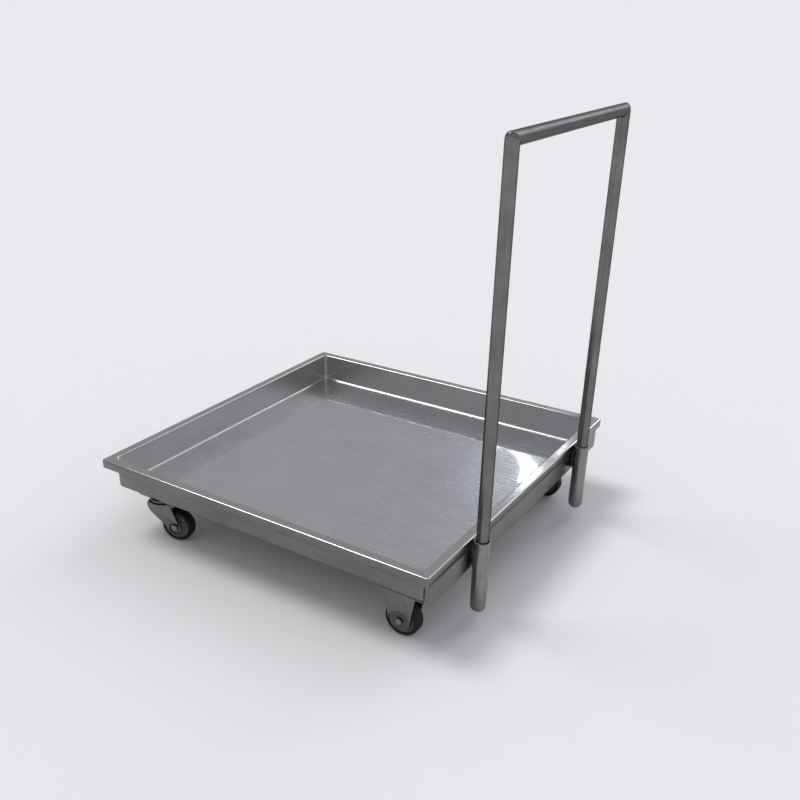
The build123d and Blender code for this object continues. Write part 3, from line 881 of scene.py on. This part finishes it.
# Casters
casters = {
    # swivel or plate centre x, y, turn in degrees, trail of the axle behind it
    "fl": (-313.25, -370.0, 15.0, 36.0),
    "rl": (-313.25, 301.0, -10.0, 36.0),
    "fr": (326.75, -370.0, 0.0, 0.0),
    "rr": (326.75, 301.0, 0.0, 0.0),
}
wheel = {
    "axleHeight": 37.5,
    "tyreRadius": 37.5,
    "tyreHalf": 14.0,
    "tyreEdge": (0.7, 0.5),     # chamfer where the tyre meets the core: outwards and along the axle
    "tyreFlat": 1.5,            # where the tyre's side starts to round, out from the core
    "shoulder": 7.0,
    "shoulderSteps": 9,
    "shoulderGap": 2,           # degrees left out at both ends of the shoulder's quarter turn
    "coreRadius": 29.0,
    "treadLines": 6,            # fine lines moulded round the tread
    "treadLine": 0.25,          # their depth
    "treadFoot": 0.2,           # half of their width at the bottom
    "treadMouth": 0.5,          # and at the tread
    "rimHalf": 12.0,
    "rimBand": 5.0,
    "webHalf": 8.0,
    "hubRadius": 13.0,
    "hubHalf": 15.0,
    "hubFillet": 1.5,
    "bandFillet": 1.0,
    "filletSteps": 4,
    "bushRadius": 9.0,
    "bushEdge": 0.3,
    "ringRadii": (17.5, 20.5),  # two moulded rings on the web
    "ringHeight": 0.7,
    "ringHalf": 0.6,
    "ringDraft": 0.3,           # how far their sides lean
    "edge": 0.6,
    "edgeSteps": 3,
    "tyreSegments": 120,
    "coreSegments": 96,
}
bolt = {
    "radius": 4.0,
    "headFace": 18.0,           # outer face of the fork's ear, from the wheel's middle
    "acrossFlats": 13.0,
    "headHeight": 5.3,
    "nutHeight": 8.0,
    "pastNut": 2.0,
    "threadPitch": 1.25,
    "threadDepth": 0.35,
    "threadStart": 0.2,         # past the ear
    "threadEnd": 0.8,           # chamfer of the bolt's end
    "segments": 48,
}
ear = {
    # stiffening rings pressed into the round ears of the fixed forks
    "face": 18.0,
    "radius": 23.6,
    "slack": 1.0,               # what counts as the ear reaches this far past its face
    "ringRadii": (11.5, 17.0),
    "ringHeight": 0.7,
    "ringHalf": 0.8,
    "ringSink": 0.2,            # how deep a ring's foot sits in the ear
    "segments": 96,
}
kingPin = {
    "radius": 6.0,
    "headRadius": 10.0,
    "headLow": 89.2,
    "headTop": 92.2,
    "headFlat": 6.5,            # radius of the flat under the head
    "headCrown": 0.1,           # how far that flat is crowned
    "headBand": 0.5,            # straight band above the head's rounding
    "headRound": 2.4,
    "headTurn": 80,             # degrees of that rounding
    "headSteps": 5,
    "top": 102.0,
    "segments": 48,
}
forkEdges = {"swivelFork": 0.7, "swivelPlate": 0.4, "rigidFork": 0.8}       # broken edges of pressed steel
casterNut = {"acrossFlats": 10.0, "low": 97.0, "high": 102.0, "bore": 3.0, "spacing": (84.0, 20.0),
             "segments": 24}


def axlePlace(corner):
    x, y, angle, trail = casters[corner]
    return moved(x, y, 0) @ turned(angle) @ moved(trail, 0, wheel["axleHeight"]) @ alongAxle


def tyreRings():
    # half of the tyre's width is on each side of the wheel's middle, height 0
    outer, half, shoulder, core = (wheel[key] for key in ("tyreRadius", "tyreHalf", "shoulder",
                                                          "coreRadius"))
    edgeOut, edgeDown = wheel["tyreEdge"]
    steps, gap = wheel["shoulderSteps"], wheel["shoulderGap"]
    foot, mouth, depth = wheel["treadFoot"], wheel["treadMouth"], wheel["treadLine"]
    flat = half - shoulder
    rings = [(core, -half + edgeDown), (core + edgeOut, -half), (core + wheel["tyreFlat"], -half)]
    rings += arc(outer - shoulder, -flat, shoulder, gap - 90, -gap, steps)
    spacing = 2 * flat / wheel["treadLines"]
    for line in range(wheel["treadLines"]):
        middle = -flat + spacing * (line + 0.5)
        rings += [(outer, middle - mouth), (outer - depth, middle - foot),
                  (outer - depth, middle + foot), (outer, middle + mouth)]
    rings += arc(outer - shoulder, flat, shoulder, gap, 90 - gap, steps)
    rings += [(core + wheel["tyreFlat"], half), (core + edgeOut, half), (core, half - edgeDown)]
    return rings + rings[:1]


def coreHalf():
    # the core's outline on one side, from the bore out to its rim
    edge, band = wheel["edge"], wheel["coreRadius"] - wheel["rimBand"]
    web, hub, rim, bush = (wheel[key] for key in ("webHalf", "hubHalf", "rimHalf", "bushRadius"))
    hubFillet, bandFillet, bushEdge = wheel["hubFillet"], wheel["bandFillet"], wheel["bushEdge"]
    ringHalf, draft, raised = wheel["ringHalf"], wheel["ringDraft"], web + wheel["ringHeight"]
    edgeSteps = wheel["edgeSteps"]
    points = [(bush, hub - bushEdge), (bush + bushEdge, hub)]
    points += arc(wheel["hubRadius"] - edge, hub - edge, edge, 90, 0, edgeSteps)
    points += arc(wheel["hubRadius"] + hubFillet, web + hubFillet, hubFillet, 180, 270,
                  wheel["filletSteps"])
    for radius in wheel["ringRadii"]:
        points += [(radius - ringHalf - draft, web), (radius - ringHalf, raised),
                   (radius + ringHalf, raised), (radius + ringHalf + draft, web)]
    points += arc(band - bandFillet, web + bandFillet, bandFillet, -90, 0, edgeSteps)
    points += arc(band + edge, rim - edge, edge, 180, 90, edgeSteps)
    points += [(wheel["coreRadius"], rim)]
    return points


def coreRings():
    points = coreHalf()
    return points + [(radius, -height) for radius, height in reversed(points)] + points[:1]


def threadRings(radius, low, high):
    # a threaded end drawn as closed ridges one pitch apart
    pitch, root = bolt["threadPitch"], radius - bolt["threadDepth"]
    rings = []
    height = low
    while height + pitch < high:
        rings += [(root, height), (radius, height + pitch / 2)]
        height += pitch
    return rings + [(root, height), (radius - bolt["threadEnd"], high), (shaping["pole"], high)]


def makeWheels():
    pole = shaping["pole"]
    radius, headFace = bolt["radius"], bolt["headFace"]
    nutEnd = headFace + bolt["nutHeight"]
    head = hexRings(bolt["acrossFlats"], -headFace - bolt["headHeight"], -headFace, True, False, pole)
    shank = [(pole, -headFace), (radius, -headFace), (radius, headFace)]
    shank += threadRings(radius, headFace + bolt["threadStart"], nutEnd + bolt["pastNut"])
    nut = hexRings(bolt["acrossFlats"], headFace, nutEnd, True, True, radius)
    nut.append(nut[0])
    pieces = (("tyre", "tyre_", [tyreRings()], wheel["tyreSegments"]),
              ("wheelCore", "wheel_core_", [coreRings()], wheel["coreSegments"]),
              ("axleBolt", "axle_bolt_", [head, shank], bolt["segments"]),
              ("axleNut", "axle_nut_", [nut], bolt["segments"]))
    for corner in casters:
        for name, node, shapes, segments in pieces:
            bm = bmesh.new()
            for rings in shapes:
                stackRings(bm, rings, segments, axlePlace(corner))
            finishPiece(bm, name + corner.upper(), [node + corner])


def makeSwivelHeads():
    pole = shaping["pole"]
    low, high, size, step = (kingPin[key] for key in ("headLow", "headTop", "headRound", "headSteps"))
    headRadius, radius, top = kingPin["headRadius"], kingPin["radius"], kingPin["top"]
    pin = [(pole, low), (kingPin["headFlat"], low + kingPin["headCrown"])]
    pin += arc(headRadius - size, high - kingPin["headBand"], size, -kingPin["headTurn"], 0, step)
    pin += [(headRadius, high), (radius, high), (radius, top), (pole, top)]
    for corner in ("fl", "rl"):
        x, y = casters[corner][:2]
        bm = bmesh.new()
        stackRings(bm, pin, kingPin["segments"], moved(x, y, 0))
        finishPiece(bm, "kingPin" + corner.upper(), ["king_pin_" + corner])
        for name, node in (("swivelFork", "swivel_fork_"), ("swivelPlate", "swivel_plate_")):
            bm = bmesh.new()
            softenedCopy(bm, node + corner, forkEdges[name])
            finishPiece(bm, name + corner.upper(), [node + corner])


def makeFixedForks():
    face, half = ear["face"], ear["ringHalf"]
    foot, raised = face - ear["ringSink"], face + ear["ringHeight"]
    for corner in ("fr", "rr"):
        bm = bmesh.new()
        softenedCopy(bm, "rigid_fork_" + corner, forkEdges["rigidFork"])
        for side in (-1, 1):
            for radius in ear["ringRadii"]:
                ridge = [(radius - 2 * half, side * foot), (radius - half, side * raised),
                         (radius + half, side * raised), (radius + 2 * half, side * foot),
                         (radius - 2 * half, side * foot)]
                stackRings(bm, ridge, ear["segments"], axlePlace(corner))
        x, y = casters[corner][:2]
        axle = Vector((x, y, wheel["axleHeight"])) * mm
        # the pressed-in ear takes the darker finish: painted shade in its recess
        for polygon in bm.faces:
            offset = polygon.calc_center_median() - axle
            inEar = math.hypot(offset.x, offset.z) < ear["radius"] * mm
            polygon.material_index = int(inEar and abs(offset.y) < (face + ear["slack"]) * mm)
        finishPiece(bm, "rigidFork" + corner.upper(), ["rigid_fork_" + corner], ["forkSteel", "shadedEarSteel"])


def makeCasterNuts():
    spacingX, spacingY = casterNut["spacing"]
    rings = hexRings(casterNut["acrossFlats"], casterNut["low"], casterNut["high"], True, False,
                     casterNut["bore"])
    rings.append(rings[0])
    bm = bmesh.new()
    for corner in casters:
        x, y = casters[corner][:2]
        for signX in (-1, 1):
            for signY in (-1, 1):
                place = moved(x + signX * spacingX / 2, y + signY * spacingY / 2, 0)
                stackRings(bm, rings, casterNut["segments"], place)
    finishPiece(bm, "casterNuts", ["caster_nuts"])


makeWheels()
makeSwivelHeads()
makeFixedForks()
makeCasterNuts()
print("casters: four wheels, forks and their fasteners")
